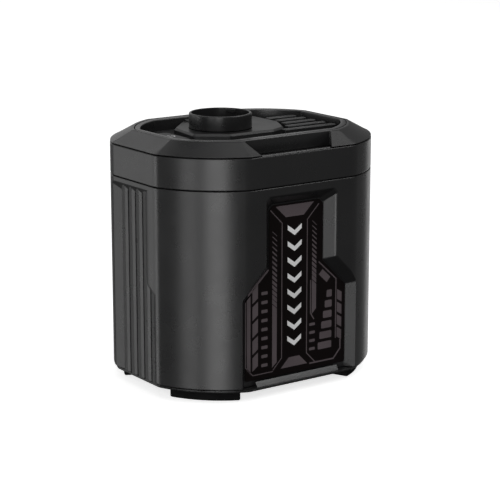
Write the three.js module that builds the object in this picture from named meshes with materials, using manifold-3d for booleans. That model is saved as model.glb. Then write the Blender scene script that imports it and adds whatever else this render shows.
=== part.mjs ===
// Portable air pump: an octagonal body that stands on four rubber pads, with an air nozzle and an intake
// grille on top. Millimetres, +Z up, origin on the standing surface under the middle of the body.
// The label face looks along -Y and the left ribbed grip along -X.
import * as THREE from "three";
import { mergeVertices } from "three/addons/utils/BufferGeometryUtils.js";
import Module from "manifold-3d";

// ---------------------------------------------------------------- driving dimensions
const HALF_WIDTH = 58;
const HALF_DEPTH = 47.2;
const CORNER_CUT = 29.7;
const CORNER_BULGE = 4.6;
const ARC_STEPS = 8;
const WALL = 2.6;
const GAP = 0.3;

const FOOT_TOP = 4.3;
const BASE_BOTTOM = 4.6;
const BASE_TOP = 5.7;
const HOUSING_BOTTOM = 6;
const HOUSING_TOP = 94.5;
const BAND_BOTTOM = 95.1;
const BAND_TOP = 108.8;
const BEZEL_BOTTOM = 109.2;
const RIM_TOP = 114.6;
const SLOPE_RUN = 9.7;
const RIM_WIDTH = 6;
const TRAY_STRETCH = 1.057;
const DECK_BOTTOM = 106.1;
const DECK_TOP = 107.9;
const POCKET_FLOOR = 109.6;
const ISLAND_TOP = 113;

// Cutting tools that go right through run from BELOW to ABOVE.
const BELOW = -20;
const ABOVE = 140;

const NOZZLE = {
  x: -7.5, y: 6, radius: 14.3, mouth: 13.1, tube: 12.2, bore: 11.2,
  bottom: 105, base: ISLAND_TOP + GAP, top: 120,
};
const GRILLE = { bars: 5, pitch: 7.5, width: 3.2, frontLeft: 12.5, right: 41.6, top: 113.1, bottom: 109.9 };
const FAN = { x: 0, y: 3, caseRadius: 33, bottom: 62, split: 80, top: 98, wall: 1.8 };
const MOTOR = {
  radius: 15.5, wall: 1.2, bottom: 27, canBottom: 29, top: 59.6, shaft: 1.5, clear: 1.8, bearing: 4,
};
const CELL = { radius: 9.25, bottom: 10, height: 65, x: 42.8, y: 12 };
const POST = { x: 40.6, y: 30.1, radius: 6.2, bore: 1.75, split: HOUSING_TOP - 1 };
const BUTTON = { x: -34.5, y: 6, width: 9, length: 20, top: 111.6 };
const LENS = { y: -14, radius: 1.6, bottom: 107.6, top: 109.8 };
const SOCKET = { x: 0, z: 26 };
const COVER = { width: 17, height: 11, thickness: 1.6 };
const BOARD = { halfWidth: 24, front: 37.4, back: 39, bottom: 12, top: 58 };
const BOARD_SCREW = { x: 19, z: 50, boss: 3, bore: 1.25, head: 2.2, headHeight: 1.3, shank: 0.9, length: 6 };

// ---------------------------------------------------------------- solids
const wasm = await Module();
wasm.setup();

function solid(geometry) {
  const bare = geometry.clone();
  bare.deleteAttribute("normal");
  bare.deleteAttribute("uv");
  const merged = mergeVertices(bare, 1e-4);
  const corners = [];
  for (let i = 0; i < merged.index.count; i += 3) {
    const [a, b, c] = [0, 1, 2].map((k) => merged.index.getX(i + k));
    if (a !== b && b !== c && c !== a) corners.push(a, b, c);
  }
  return new wasm.Manifold(new wasm.Mesh({
    numProp: 3,
    vertProperties: new Float32Array(merged.attributes.position.array),
    triVerts: new Uint32Array(corners),
  }));
}

function geometryOf(manifold) {
  const mesh = manifold.getMesh();
  const geometry = new THREE.BufferGeometry();
  geometry.setAttribute("position", new THREE.BufferAttribute(new Float32Array(mesh.vertProperties), 3));
  geometry.setIndex(new THREE.BufferAttribute(new Uint32Array(mesh.triVerts), 1));
  geometry.computeVertexNormals();
  return geometry;
}

const joinedTo = (body, ...more) => more.reduce((sum, each) => sum.add(solid(each)), body);
const joined = (first, ...rest) => joinedTo(solid(first), ...rest);
const without = (body, ...tools) => tools.reduce((left, each) => left.subtract(solid(each)), body);

function block(x0, x1, y0, y1, z0, z1) {
  return new THREE.BoxGeometry(x1 - x0, y1 - y0, z1 - z0)
    .translate((x0 + x1) / 2, (y0 + y1) / 2, (z0 + z1) / 2);
}

function slab(shape, z0, z1, curveSegments = 8) {
  return new THREE.ExtrudeGeometry(shape, { depth: z1 - z0, bevelEnabled: false, curveSegments })
    .translate(0, 0, z0);
}

function disc(radius, z0, z1, x = 0, y = 0, sides = 24) {
  return new THREE.CylinderGeometry(radius, radius, z1 - z0, sides)
    .rotateX(Math.PI / 2)
    .translate(x, y, (z0 + z1) / 2);
}

function hole(radius, x = 0, y = 0, sides = 16) {
  return disc(radius, BELOW, ABOVE, x, y, sides);
}

// A round rod along Y.
function rod(radius, y0, y1, x, z, sides = 12) {
  return new THREE.CylinderGeometry(radius, radius, y1 - y0, sides).translate(x, (y0 + y1) / 2, z);
}

function turned(profile, x = 0, y = 0, sides = 32) {
  const points = profile.map(([radius, z]) => new THREE.Vector2(radius, z));
  return new THREE.LatheGeometry(points, sides).rotateX(Math.PI / 2).translate(x, y, 0);
}

function pipe(outer, inner, z0, z1, x = 0, y = 0, sides = 32) {
  const profile = [[inner, z0], [outer, z0], [outer, z1], [inner, z1], [inner, z0]];
  return turned(profile, x, y, sides);
}

// A shape drawn in X and Z, pushed from y0 (back) to y1 (front, more negative).
function frontSlab(shape, y0, y1) {
  return new THREE.ExtrudeGeometry(shape, { depth: y0 - y1, bevelEnabled: false })
    .rotateX(Math.PI / 2)
    .translate(0, y0, 0);
}

// A section drawn in Y and Z, pushed along X.
function sideSlab(section, x0, x1) {
  return new THREE.ExtrudeGeometry(section, { depth: x1 - x0, bevelEnabled: false })
    .rotateX(Math.PI / 2)
    .rotateZ(Math.PI / 2)
    .translate(x0, 0, 0);
}

function polygon(points) {
  return new THREE.Shape(points.map(([x, y]) => new THREE.Vector2(x, y)));
}

// ---------------------------------------------------------------- body outline
const CHORD = CORNER_CUT * Math.SQRT2;
const ARC_RADIUS = CHORD ** 2 / (8 * CORNER_BULGE) + CORNER_BULGE / 2;
const ARC_INWARD = (ARC_RADIUS - CORNER_BULGE) / Math.SQRT2;
const ARC_X = HALF_WIDTH - CORNER_CUT / 2 - ARC_INWARD;
const ARC_Y = HALF_DEPTH - CORNER_CUT / 2 - ARC_INWARD;

// The octagon with bulged corner faces, moved inwards by inset.
function outline(inset) {
  const radius = ARC_RADIUS - inset;
  const from = Math.acos((HALF_WIDTH - inset - ARC_X) / radius);
  const to = Math.asin((HALF_DEPTH - inset - ARC_Y) / radius);
  const corner = [];
  for (let i = 0; i <= ARC_STEPS; i++) {
    const angle = from + (to - from) * i / ARC_STEPS;
    corner.push([ARC_X + radius * Math.cos(angle), ARC_Y + radius * Math.sin(angle)]);
  }
  const reversed = corner.slice().reverse();
  return polygon([
    ...corner,
    ...reversed.map(([x, y]) => [-x, y]),
    ...corner.map(([x, y]) => [-x, -y]),
    ...reversed.map(([x, y]) => [x, -y]),
  ]);
}

// The mouth of the sunken tray. It is stretched sideways, so the rim is narrower at the two sides.
function trayMouth(clearance) {
  const points = outline(SLOPE_RUN + RIM_WIDTH + clearance).getPoints();
  return polygon(points.map(({ x, y }) => [x * TRAY_STRETCH, y]));
}

function ring(outerInset, innerInset, z0, z1) {
  return without(solid(slab(outline(outerInset), z0, z1)), slab(outline(innerInset), z0 - 1, z1 + 1));
}

// The floor of the label recess, in X and Z: narrow above, flared to a wide foot below.
const LABEL = { x: -0.8, top: 86.3, narrow: 15, wide: 27.9, diagonal: 73, cut: 2, depth: 4.9, slope: 4.2 };

function labelShape(inset, bottom) {
  const top = LABEL.top - inset;
  const narrow = LABEL.narrow - inset;
  const wide = LABEL.wide - inset;
  const diagonal = LABEL.diagonal - inset * Math.SQRT2;
  const right = [
    [wide, bottom], [wide, diagonal - wide], [narrow, diagonal - narrow],
    [narrow, top - LABEL.cut], [narrow - LABEL.cut, top],
  ];
  const left = right.slice().reverse().map(([x, z]) => [-x, z]);
  return polygon([...right, ...left].map(([x, z]) => [LABEL.x + x, z]));
}

// ---------------------------------------------------------------- object and materials
const object = new THREE.Group();
const finish = (color, roughness, metalness = 0) => (
  new THREE.MeshStandardMaterial({ color, roughness, metalness }));
const blackPlastic = () => finish(0x232325, 0.5);
const rubber = () => finish(0x0d0d0e, 0.85);
const steel = () => finish(0x9a9da0, 0.35, 1);
const greyPlastic = () => finish(0x4c4f53, 0.6);

function add(name, shape, material, parent = object) {
  const mesh = new THREE.Mesh(shape.isBufferGeometry ? shape : geometryOf(shape), material);
  mesh.name = name;
  parent.add(mesh);
  return mesh;
}

const quarters = [[-1, -1, "front_left"], [1, -1, "front_right"], [1, 1, "back_right"], [-1, 1, "back_left"]];
const postBores = quarters.map(([sx, sy]) => hole(POST.bore, sx * POST.x, sy * POST.y));
const posts = (z0, z1, radius = POST.radius) => quarters.map(([sx, sy]) => (
  disc(radius, z0, z1, sx * POST.x, sy * POST.y, 16)));

// ---------------------------------------------------------------- base and feet
const SILL = { halfWidth: 22.6, front: -45.2, back: -43.7, top: 8 };

function basePlate() {
  const sill = sideSlab(polygon([
    [SILL.front, BASE_TOP - 0.5], [SILL.back, BASE_TOP - 0.5], [SILL.back, SILL.top], [SILL.front, BASE_TOP],
  ]), LABEL.x - SILL.halfWidth, LABEL.x + SILL.halfWidth);
  return without(joined(slab(outline(1), BASE_BOTTOM, BASE_TOP), sill), ...postBores);
}
add("base_plate", basePlate(), blackPlastic());

const PAD = { length: 29, insetOuter: 4.5, insetInner: 13 };
const BASE_SCREW = { head: 2.5, headHeight: 1.6, shank: 1.4, length: 14 };
const DECK_SCREW = { head: 2.6, headHeight: 0.8, shank: 1.4, length: 24 };

// A pad follows its corner face, and covers the head of the base screw there.
function footPad(sx, sy) {
  const across = new THREE.BoxGeometry(40, PAD.length, 10)
    .rotateZ(Math.atan2(sy, sx))
    .translate(sx * (HALF_WIDTH - CORNER_CUT / 2), sy * (HALF_DEPTH - CORNER_CUT / 2), FOOT_TOP / 2);
  const headPocket = disc(BASE_SCREW.head + GAP, BASE_BOTTOM - BASE_SCREW.headHeight - 2 * GAP, FOOT_TOP + 1,
    sx * POST.x, sy * POST.y, 16);
  return without(ring(PAD.insetOuter, PAD.insetInner, 0, FOOT_TOP).intersect(solid(across)), headPocket);
}
for (const [sx, sy, place] of quarters) add(`foot_${place}`, footPad(sx, sy), rubber());

// ---------------------------------------------------------------- lower housing
// The ribbed grips are a saw-tooth in plan: a wide tooth at the back, then narrow ones. The lowest part of the
// grip has one tooth more, and every tooth ends above in a face that slopes out to the wall.
const RIBS = {
  back: 18, wideValley: 10.1, wideDepth: 1.3, crest: 8.1, valley: 5.1, pitch: 5.85, depth: 1,
  upperTeeth: 3, lowerTeeth: 4, top: 92, lowerTop: 47, slope: 3.6, frontRun: 2.2,
};
const FRONT_BACKING = { halfWidth: 36, inner: -40.2, top: 93 };

function ribCutter(side, teeth, top) {
  const outside = HALF_WIDTH + 2;
  const points = [
    [outside, RIBS.back], [HALF_WIDTH, RIBS.back], [HALF_WIDTH - RIBS.wideDepth, RIBS.wideValley],
  ];
  for (let i = 0; i < teeth; i++) {
    const along = i * RIBS.pitch;
    points.push([HALF_WIDTH, RIBS.crest - along], [HALF_WIDTH - RIBS.depth, RIBS.valley - along]);
  }
  const lastCrest = RIBS.crest - teeth * RIBS.pitch;
  points.push([HALF_WIDTH, lastCrest], [HALF_WIDTH - RIBS.depth / 2, lastCrest - RIBS.frontRun / 2]);
  points.push([HALF_WIDTH, lastCrest - RIBS.frontRun], [outside, lastCrest - RIBS.frontRun]);
  const teethSlab = slab(polygon(points.map(([x, y]) => [side * x, y])), HOUSING_BOTTOM - 2, top);
  // The top face runs from the wall at top, down to the deepest valley.
  const roof = new THREE.BoxGeometry(20, 80, 40).translate(-10, 0, 20)
    .rotateY(-Math.atan2(RIBS.slope, RIBS.wideDepth));
  if (side < 0) roof.rotateZ(Math.PI);
  return geometryOf(without(solid(teethSlab), roof.translate(side * HALF_WIDTH, 0, top)));
}

function lowerHousing() {
  const cavity = without(
    solid(slab(outline(WALL), HOUSING_BOTTOM - 1, HOUSING_TOP + 1)),
    block(-FRONT_BACKING.halfWidth, FRONT_BACKING.halfWidth, -HALF_DEPTH, FRONT_BACKING.inner,
      0, FRONT_BACKING.top),
  );
  const shell = solid(slab(outline(0), HOUSING_BOTTOM, HOUSING_TOP)).subtract(cavity);
  const bosses = [-1, 1].map((side) => rod(BOARD_SCREW.boss, BOARD.back + GAP, HALF_DEPTH - 1,
    side * BOARD_SCREW.x, BOARD_SCREW.z, 16));
  const body = joinedTo(shell, ...posts(HOUSING_BOTTOM, POST.split), ...bosses);

  const recess = new THREE.ExtrudeGeometry(labelShape(0, -12), {
    depth: 10, bevelThickness: LABEL.depth, bevelSize: LABEL.slope, bevelSegments: 1,
  }).rotateX(Math.PI / 2).translate(0, -HALF_DEPTH, 0);

  const grooves = [-1, 1].flatMap((side) => [
    ribCutter(side, RIBS.upperTeeth, RIBS.top), ribCutter(side, RIBS.lowerTeeth, RIBS.lowerTop),
  ]);
  const bossBores = [-1, 1].map((side) => rod(BOARD_SCREW.bore, BOARD.front, HALF_DEPTH - 2.4,
    side * BOARD_SCREW.x, BOARD_SCREW.z));
  const coverSeat = block(
    SOCKET.x - COVER.width / 2 - GAP, SOCKET.x + COVER.width / 2 + GAP,
    HALF_DEPTH - COVER.thickness - GAP, HALF_DEPTH + 1,
    SOCKET.z - COVER.height / 2 - GAP, SOCKET.z + COVER.height / 2 + GAP,
  );
  const socketWindow = block(SOCKET.x - 6, SOCKET.x + 6, BOARD.back + 1, HALF_DEPTH + 1,
    SOCKET.z - 3.3, SOCKET.z + 3.3);
  return without(body, recess, ...grooves, ...postBores, ...bossBores, coverSeat, socketWindow);
}
add("lower_housing", lowerHousing(), blackPlastic());

const LABEL_FLOOR_Y = -HALF_DEPTH + LABEL.depth;
add("label_plate", frontSlab(labelShape(0.4, 8.5), LABEL_FLOOR_Y - GAP, LABEL_FLOOR_Y - GAP - 0.8),
  finish(0x0b0708, 0.35));

// ---------------------------------------------------------------- upper band, bezel and deck
function upperHousing() {
  const band = ring(0, WALL, BAND_BOTTOM, BAND_TOP);
  const tongue = ring(WALL - 1.1, WALL + 1.6, BAND_BOTTOM, BAND_BOTTOM + 3);
  const lip = ring(WALL + GAP, WALL + 1.6, BAND_BOTTOM - 3, BAND_BOTTOM + 1);
  const lipClearOfPosts = without(lip, ...posts(BELOW, BAND_BOTTOM, POST.radius + GAP));
  const body = joinedTo(band.add(tongue).add(lipClearOfPosts), ...posts(BAND_BOTTOM, DECK_BOTTOM - GAP));
  const frontClearance = block(-FRONT_BACKING.halfWidth - GAP, FRONT_BACKING.halfWidth + GAP,
    -HALF_DEPTH, FRONT_BACKING.inner + GAP, BELOW, FRONT_BACKING.top + GAP);
  return without(body, frontClearance, ...postBores);
}
add("upper_housing", upperHousing(), blackPlastic());

const NOTCH = { backLeft: -25.2, backRight: 22, frontLeft: -22.2, frontRight: 14.4, back: -37.5 };

function topBezel() {
  const rise = RIM_TOP - BEZEL_BOTTOM;
  const sloped = new THREE.ExtrudeGeometry(outline(SLOPE_RUN), {
    depth: 1, bevelThickness: rise, bevelSize: SLOPE_RUN, bevelSegments: 1,
  }).translate(0, 0, BEZEL_BOTTOM - 1);
  const skirt = solid(slab(outline(WALL + GAP), DECK_TOP + GAP, BEZEL_BOTTOM + 1));
  const notch = slab(polygon([
    [NOTCH.frontLeft, -HALF_DEPTH - 1], [NOTCH.frontRight, -HALF_DEPTH - 1],
    [NOTCH.backRight, NOTCH.back], [NOTCH.backLeft, NOTCH.back],
  ]), BELOW, ABOVE);
  const underside = slab(outline(-1), BELOW, BEZEL_BOTTOM);
  return without(without(solid(sloped), underside).add(skirt), slab(trayMouth(0), BELOW, ABOVE), notch);
}
add("top_bezel", topBezel(), blackPlastic());

const ISLAND = [
  [-14.5, -12.5], [9, -12.8], [16.5, -9.5], [19, -6.5], [24.5, 5], [24.5, 31.1], [-12, 31.1], [-25.5, 17],
  [-28, -2.5],
];
const ISLAND_EDGE = 0.9;
const RAMP = { left: -11.5, right: 23.5, front: 24, back: 30.9, rise: 0.9 };
const SEAL = { bottom: ISLAND_TOP - 0.6, top: ISLAND_TOP };
const WINDOW = { left: 26.2, right: 40, halfLength: 16 };
const SWITCH_BOARD = { bottom: 98.5, top: 100.1, halfWidth: 8, halfLength: 17.5, screwY: 14.5, boss: 2.2 };

function topDeck() {
  const island = new THREE.ExtrudeGeometry(polygon(ISLAND), {
    depth: ISLAND_TOP - POCKET_FLOOR, bevelThickness: ISLAND_EDGE, bevelSize: ISLAND_EDGE,
    bevelOffset: -ISLAND_EDGE, bevelSegments: 1,
  }).translate(0, 0, POCKET_FLOOR - ISLAND_EDGE);
  const ramp = sideSlab(polygon([
    [RAMP.front, ISLAND_TOP - 1], [RAMP.back, ISLAND_TOP - 1], [RAMP.back, ISLAND_TOP + RAMP.rise],
    [RAMP.front, ISLAND_TOP],
  ]), RAMP.left, RAMP.right);
  const bosses = [-1, 1].map((side) => disc(SWITCH_BOARD.boss, SWITCH_BOARD.top + GAP, DECK_BOTTOM + 1,
    BUTTON.x, BUTTON.y + side * SWITCH_BOARD.screwY, 16));
  const deck = joined(slab(outline(WALL + GAP), DECK_BOTTOM, DECK_TOP),
    slab(trayMouth(GAP), DECK_TOP - 1, POCKET_FLOOR), island, ramp, ...bosses);
  const buttonHole = block(BUTTON.x - BUTTON.width / 2 - GAP, BUTTON.x + BUTTON.width / 2 + GAP,
    BUTTON.y - BUTTON.length / 2 - GAP, BUTTON.y + BUTTON.length / 2 + GAP, BELOW, ABOVE);
  const intake = block(WINDOW.left, WINDOW.right, -WINDOW.halfLength, WINDOW.halfLength, BELOW, ABOVE);
  return without(deck, buttonHole, intake,
    hole(NOZZLE.tube + GAP, NOZZLE.x, NOZZLE.y, 32),
    disc(NOZZLE.radius + 0.1, SEAL.bottom - GAP, ABOVE, NOZZLE.x, NOZZLE.y, 32),
    hole(LENS.radius + GAP, BUTTON.x, LENS.y),
    ...[-1, 1].map((side) => disc(1.2, BELOW, DECK_BOTTOM - 0.6,
      BUTTON.x, BUTTON.y + side * SWITCH_BOARD.screwY, 12)),
    ...postBores,
    ...posts(DECK_BOTTOM + 0.9, ABOVE, DECK_SCREW.head + 0.4));
}
add("top_deck", topDeck(), blackPlastic());

// Each bar starts just clear of the island's right side.
function islandRight(y) {
  const [, , , [x0, y0], [x1, y1]] = ISLAND;
  return Math.min(x1, x0 + (x1 - x0) * (y - y0) / (y1 - y0));
}

function intakeGrille() {
  const half = GRILLE.width / 2;
  const bars = [];
  for (let i = 0; i < GRILLE.bars; i++) {
    const y = (i - (GRILLE.bars - 1) / 2) * GRILLE.pitch;
    const left = y + half < ISLAND[0][1] ? GRILLE.frontLeft : islandRight(y + half) + 0.4;
    bars.push(block(left, GRILLE.right, y - half, y + half, GRILLE.bottom, GRILLE.top));
  }
  const reach = (GRILLE.bars - 1) / 2 * GRILLE.pitch + half;
  const rails = [28, 37].map((x) => block(x, x + 2, -reach, reach, GRILLE.bottom, GRILLE.bottom + 1.3));
  return joined(...bars, ...rails);
}
add("intake_grille", intakeGrille(), blackPlastic());

function airNozzle() {
  const { mouth, tube, bore, radius, bottom, base, top } = NOZZLE;
  const edge = 0.3;
  const ledge = base + 1;
  const collar = turned([
    [bore, bottom], [tube, bottom], [tube, base], [radius, base], [radius, top - edge], [radius - edge, top],
    [mouth + edge / 2, top], [mouth, top - edge / 2], [mouth, ledge], [bore, ledge], [bore, bottom],
  ], 0, 0, 40);
  const lugs = [-146, 34].map((degrees) => block(mouth - 1, mouth + 0.5, -2.2, 2.2, top - 2.2, top - 0.6)
    .rotateZ(THREE.MathUtils.degToRad(degrees)));
  return joined(collar, ...lugs);
}
add("air_nozzle", airNozzle(), blackPlastic()).position.set(NOZZLE.x, NOZZLE.y, 0);
add("nozzle_seal", pipe(NOZZLE.radius - GAP, NOZZLE.tube + 0.6, SEAL.bottom, SEAL.top, NOZZLE.x, NOZZLE.y),
  rubber());

// ---------------------------------------------------------------- power button and indicator
const BUTTON_FLANGE = { bottom: 104.6, top: DECK_BOTTOM - GAP, margin: 1.2 };

function powerButton() {
  const halfX = BUTTON.width / 2;
  const halfY = BUTTON.length / 2;
  const { bottom, top, margin } = BUTTON_FLANGE;
  return joined(block(-halfX, halfX, -halfY, halfY, top - 0.5, BUTTON.top),
    block(-halfX - margin, halfX + margin, -halfY - margin, halfY + margin, bottom, top));
}
add("power_button", powerButton(), greyPlastic()).position.set(BUTTON.x, BUTTON.y, 0);
add("status_lens", disc(LENS.radius, LENS.bottom, LENS.top, BUTTON.x, LENS.y, 20), finish(0xdfe6ea, 0.2));

const switchParts = new THREE.Group();
switchParts.position.set(BUTTON.x, BUTTON.y, 0);
object.add(switchParts);
const switchHoles = [-1, 1].map((side) => hole(1.3, 0, side * SWITCH_BOARD.screwY, 12));
const switchBlank = block(-SWITCH_BOARD.halfWidth, SWITCH_BOARD.halfWidth,
  -SWITCH_BOARD.halfLength, SWITCH_BOARD.halfLength, SWITCH_BOARD.bottom, SWITCH_BOARD.top);
add("switch_board", without(solid(switchBlank), ...switchHoles), finish(0x1f5b38, 0.6), switchParts);
const SWITCH = { half: 3, height: 2.7 };
add("button_switch", block(-SWITCH.half, SWITCH.half, -SWITCH.half, SWITCH.half,
  SWITCH_BOARD.top + GAP, SWITCH_BOARD.top + GAP + SWITCH.height), steel(), switchParts);

// A screw that stands on its head at z = 0 and points up.
function screw({ head, headHeight, shank, length }) {
  return turned([
    [0, 0], [head, 0], [head, headHeight], [shank, headHeight], [shank, headHeight + length - 1],
    [0, headHeight + length],
  ], 0, 0, 12);
}

function addScrew(name, geometry, x, y, z, parent = object) {
  const mesh = add(name, geometry, steel(), parent);
  mesh.position.set(x, y, z);
  return mesh;
}
const SWITCH_SCREW = { head: 2.1, headHeight: 1.2, shank: 0.9, length: 5 };
[-1, 1].forEach((side, i) => {
  addScrew(`switch_screw_${i + 1}`, screw(SWITCH_SCREW), 0, side * SWITCH_BOARD.screwY,
    SWITCH_BOARD.bottom - GAP - SWITCH_SCREW.headHeight, switchParts);
});

// ---------------------------------------------------------------- fan
const LUG = { radius: 3.2, bore: 1.45, distance: 34.5, angles: [90, 210, 330] };
const lugPlaces = LUG.angles.map((degrees) => {
  const angle = THREE.MathUtils.degToRad(degrees);
  return [LUG.distance * Math.cos(angle), LUG.distance * Math.sin(angle)];
});
const lugs = (z0, z1) => lugPlaces.map(([x, y]) => disc(LUG.radius, z0, z1, x, y, 16));
const lugBores = lugPlaces.map(([x, y]) => hole(LUG.bore, x, y, 12));

const fan = new THREE.Group();
fan.position.set(FAN.x, FAN.y, 0);
object.add(fan);

const EYE_RADIUS = 17;
const inner = FAN.caseRadius - FAN.wall;
const lowerTop = FAN.split - GAP / 2;
const upperBottom = FAN.split + GAP / 2;

const lowerCase = turned([
  [EYE_RADIUS, FAN.bottom], [FAN.caseRadius, FAN.bottom], [FAN.caseRadius, lowerTop], [inner, lowerTop],
  [inner, FAN.bottom + FAN.wall], [EYE_RADIUS, FAN.bottom + FAN.wall], [EYE_RADIUS, FAN.bottom],
], 0, 0, 40);
const fanSpace = disc(inner - 0.5, FAN.bottom + FAN.wall, FAN.top - FAN.wall, 0, 0, 40);
add("fan_case_lower", without(joined(lowerCase, ...lugs(FAN.bottom, lowerTop)), fanSpace, ...lugBores),
  greyPlastic(), fan);

const DUCT = { x: NOZZLE.x - FAN.x, y: NOZZLE.y - FAN.y, outer: 12.3, bore: 10.9, top: 104.6 };
function fanCaseUpper() {
  const drum = disc(FAN.caseRadius, upperBottom, FAN.top, 0, 0, 40);
  const duct = disc(DUCT.outer, FAN.top - 1, DUCT.top, DUCT.x, DUCT.y, 32);
  return without(joined(drum, duct, ...lugs(upperBottom, FAN.top)),
    disc(inner, upperBottom - 1, FAN.top - FAN.wall, 0, 0, 40),
    disc(DUCT.bore, FAN.top - FAN.wall - 1, ABOVE, DUCT.x, DUCT.y, 32), ...lugBores);
}
add("fan_case_upper", fanCaseUpper(), greyPlastic(), fan);

const IMPELLER = { hub: 5, bottom: 65.5, plate: 29, plateBottom: 76.5, top: 78 };
const BLADES = { count: 9, inner: 9, outer: 28.5, thickness: 1.2, bottom: 67, top: 77, lean: 38 };

function impeller() {
  const { hub, bottom, plate, plateBottom, top } = IMPELLER;
  const disk = turned([
    [MOTOR.clear, bottom], [hub, bottom], [hub, plateBottom], [plate, plateBottom], [plate, top],
    [MOTOR.clear, top], [MOTOR.clear, bottom],
  ], 0, 0, 40);
  const blades = [];
  for (let i = 0; i < BLADES.count; i++) {
    blades.push(new THREE.BoxGeometry(BLADES.outer - BLADES.inner, BLADES.thickness, BLADES.top - BLADES.bottom)
      .rotateZ(THREE.MathUtils.degToRad(BLADES.lean))
      .translate((BLADES.inner + BLADES.outer) / 2, 0, (BLADES.top + BLADES.bottom) / 2)
      .rotateZ(i * 2 * Math.PI / BLADES.count));
  }
  return joined(disk, ...blades);
}
add("impeller", impeller(), finish(0xd9dadb, 0.45), fan);

// ---------------------------------------------------------------- motor
const MOUNT = { bottom: 60, top: 61.7, rim: 28, hub: 10, halfArm: 3 };
const MOTOR_SCREW = { x: 7.2, bore: 1.2, head: 1.9, headHeight: 1.2, shank: 0.9, length: 3.2 };
const BEARING_HOLE = MOTOR.bearing + GAP;
const motorHoles = [-1, 1].map((side) => hole(MOTOR_SCREW.bore, side * MOTOR_SCREW.x, 0, 12));

function motorMount() {
  const { bottom, top, rim, hub, halfArm } = MOUNT;
  const arms = LUG.angles.map((degrees) => block(hub - 3, rim + 2, -halfArm, halfArm, bottom, top)
    .rotateZ(THREE.MathUtils.degToRad(degrees)));
  return without(joined(pipe(FAN.caseRadius, rim, bottom, top, 0, 0, 40), disc(hub, bottom, top), ...arms,
    ...lugs(bottom, top)), hole(BEARING_HOLE, 0, 0, 24), ...motorHoles, ...lugBores);
}
add("motor_mount", motorMount(), greyPlastic(), fan);

const canInner = MOTOR.radius - MOTOR.wall;
const canRoof = MOTOR.top - MOTOR.wall;
const can = turned([
  [BEARING_HOLE, canRoof], [canInner, canRoof], [canInner, MOTOR.canBottom], [MOTOR.radius, MOTOR.canBottom],
  [MOTOR.radius, MOTOR.top], [BEARING_HOLE, MOTOR.top], [BEARING_HOLE, canRoof],
], 0, 0, 36);
add("motor_can", without(solid(can), ...motorHoles), steel(), fan);
add("motor_end_cap", pipe(MOTOR.radius, BEARING_HOLE, MOTOR.bottom, MOTOR.canBottom - GAP, 0, 0, 36),
  finish(0x2b2c30, 0.6), fan);

const MAGNETS = { inner: 11.6, bottom: 34, top: 53 };
const CORE = { radius: 11, bottom: 33, top: 54 };
const SHAFT = { bottom: 24.5, top: 79 };
add("motor_magnets", pipe(canInner - GAP, MAGNETS.inner, MAGNETS.bottom, MAGNETS.top, 0, 0, 36),
  finish(0x39393d, 0.5, 0.6), fan);
add("rotor_core", pipe(CORE.radius, MOTOR.clear, CORE.bottom, CORE.top, 0, 0, 36),
  finish(0x8a5a33, 0.4, 0.8), fan);
add("motor_shaft", disc(MOTOR.shaft, SHAFT.bottom, SHAFT.top, 0, 0, 16), steel(), fan);
add("bearing_lower", pipe(MOTOR.bearing, MOTOR.clear, 26.4, 28.9, 0, 0, 20), steel(), fan);
add("bearing_upper", pipe(MOTOR.bearing, MOTOR.clear, 58.2, 60.8, 0, 0, 20), steel(), fan);

const FAN_SCREW = { head: 2.5, headHeight: 1.5, shank: 1.1, length: 32 };
lugPlaces.forEach(([x, y], i) => {
  addScrew(`fan_screw_${i + 1}`, screw(FAN_SCREW), x, y, MOUNT.bottom - GAP - FAN_SCREW.headHeight, fan);
});
[-1, 1].forEach((side, i) => {
  const mesh = addScrew(`motor_screw_${i + 1}`, screw(MOTOR_SCREW), side * MOTOR_SCREW.x, 0,
    MOUNT.top + GAP + MOTOR_SCREW.headHeight, fan);
  mesh.rotation.x = Math.PI;
});

// ---------------------------------------------------------------- battery
const CRADLE = { halfX: 10, halfY: 21.9, bottom: 6.3, top: 14 };
for (const [side, place] of [[-1, "left"], [1, "right"]]) {
  const battery = new THREE.Group();
  battery.position.set(side * CELL.x, 0, 0);
  object.add(battery);
  const pockets = [-1, 1].map((row) => disc(CELL.radius + GAP, CELL.bottom - GAP, 20, 0, row * CELL.y, 28));
  const cradle = block(-CRADLE.halfX, CRADLE.halfX, -CRADLE.halfY, CRADLE.halfY, CRADLE.bottom, CRADLE.top);
  add(`battery_cradle_${place}`, without(solid(cradle), ...pockets), greyPlastic(), battery);
  for (const [row, end] of [[-1, "front"], [1, "back"]]) {
    add(`battery_cell_${place}_${end}`,
      disc(CELL.radius, CELL.bottom, CELL.bottom + CELL.height, 0, row * CELL.y, 28),
      finish(0x2f6f8f, 0.4), battery);
  }
  const linkBottom = CELL.bottom + CELL.height + GAP;
  add(`cell_link_${place}`, block(-3, 3, -CELL.y - 4, CELL.y + 4, linkBottom, linkBottom + 0.3),
    steel(), battery);
}

// ---------------------------------------------------------------- control board and charging socket
const boardHoles = [-1, 1].map((side) => rod(BOARD_SCREW.bore, BOARD.front - 1, BOARD.back + 1,
  side * BOARD_SCREW.x, BOARD_SCREW.z));
add("control_board", without(solid(block(-BOARD.halfWidth, BOARD.halfWidth, BOARD.front, BOARD.back,
  BOARD.bottom, BOARD.top)), ...boardHoles), finish(0x1f5b38, 0.6));
[-1, 1].forEach((side, i) => {
  const mesh = addScrew(`board_screw_${i + 1}`, screw(BOARD_SCREW), side * BOARD_SCREW.x,
    BOARD.front - GAP - BOARD_SCREW.headHeight, BOARD_SCREW.z);
  mesh.rotation.x = -Math.PI / 2;
});

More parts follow.
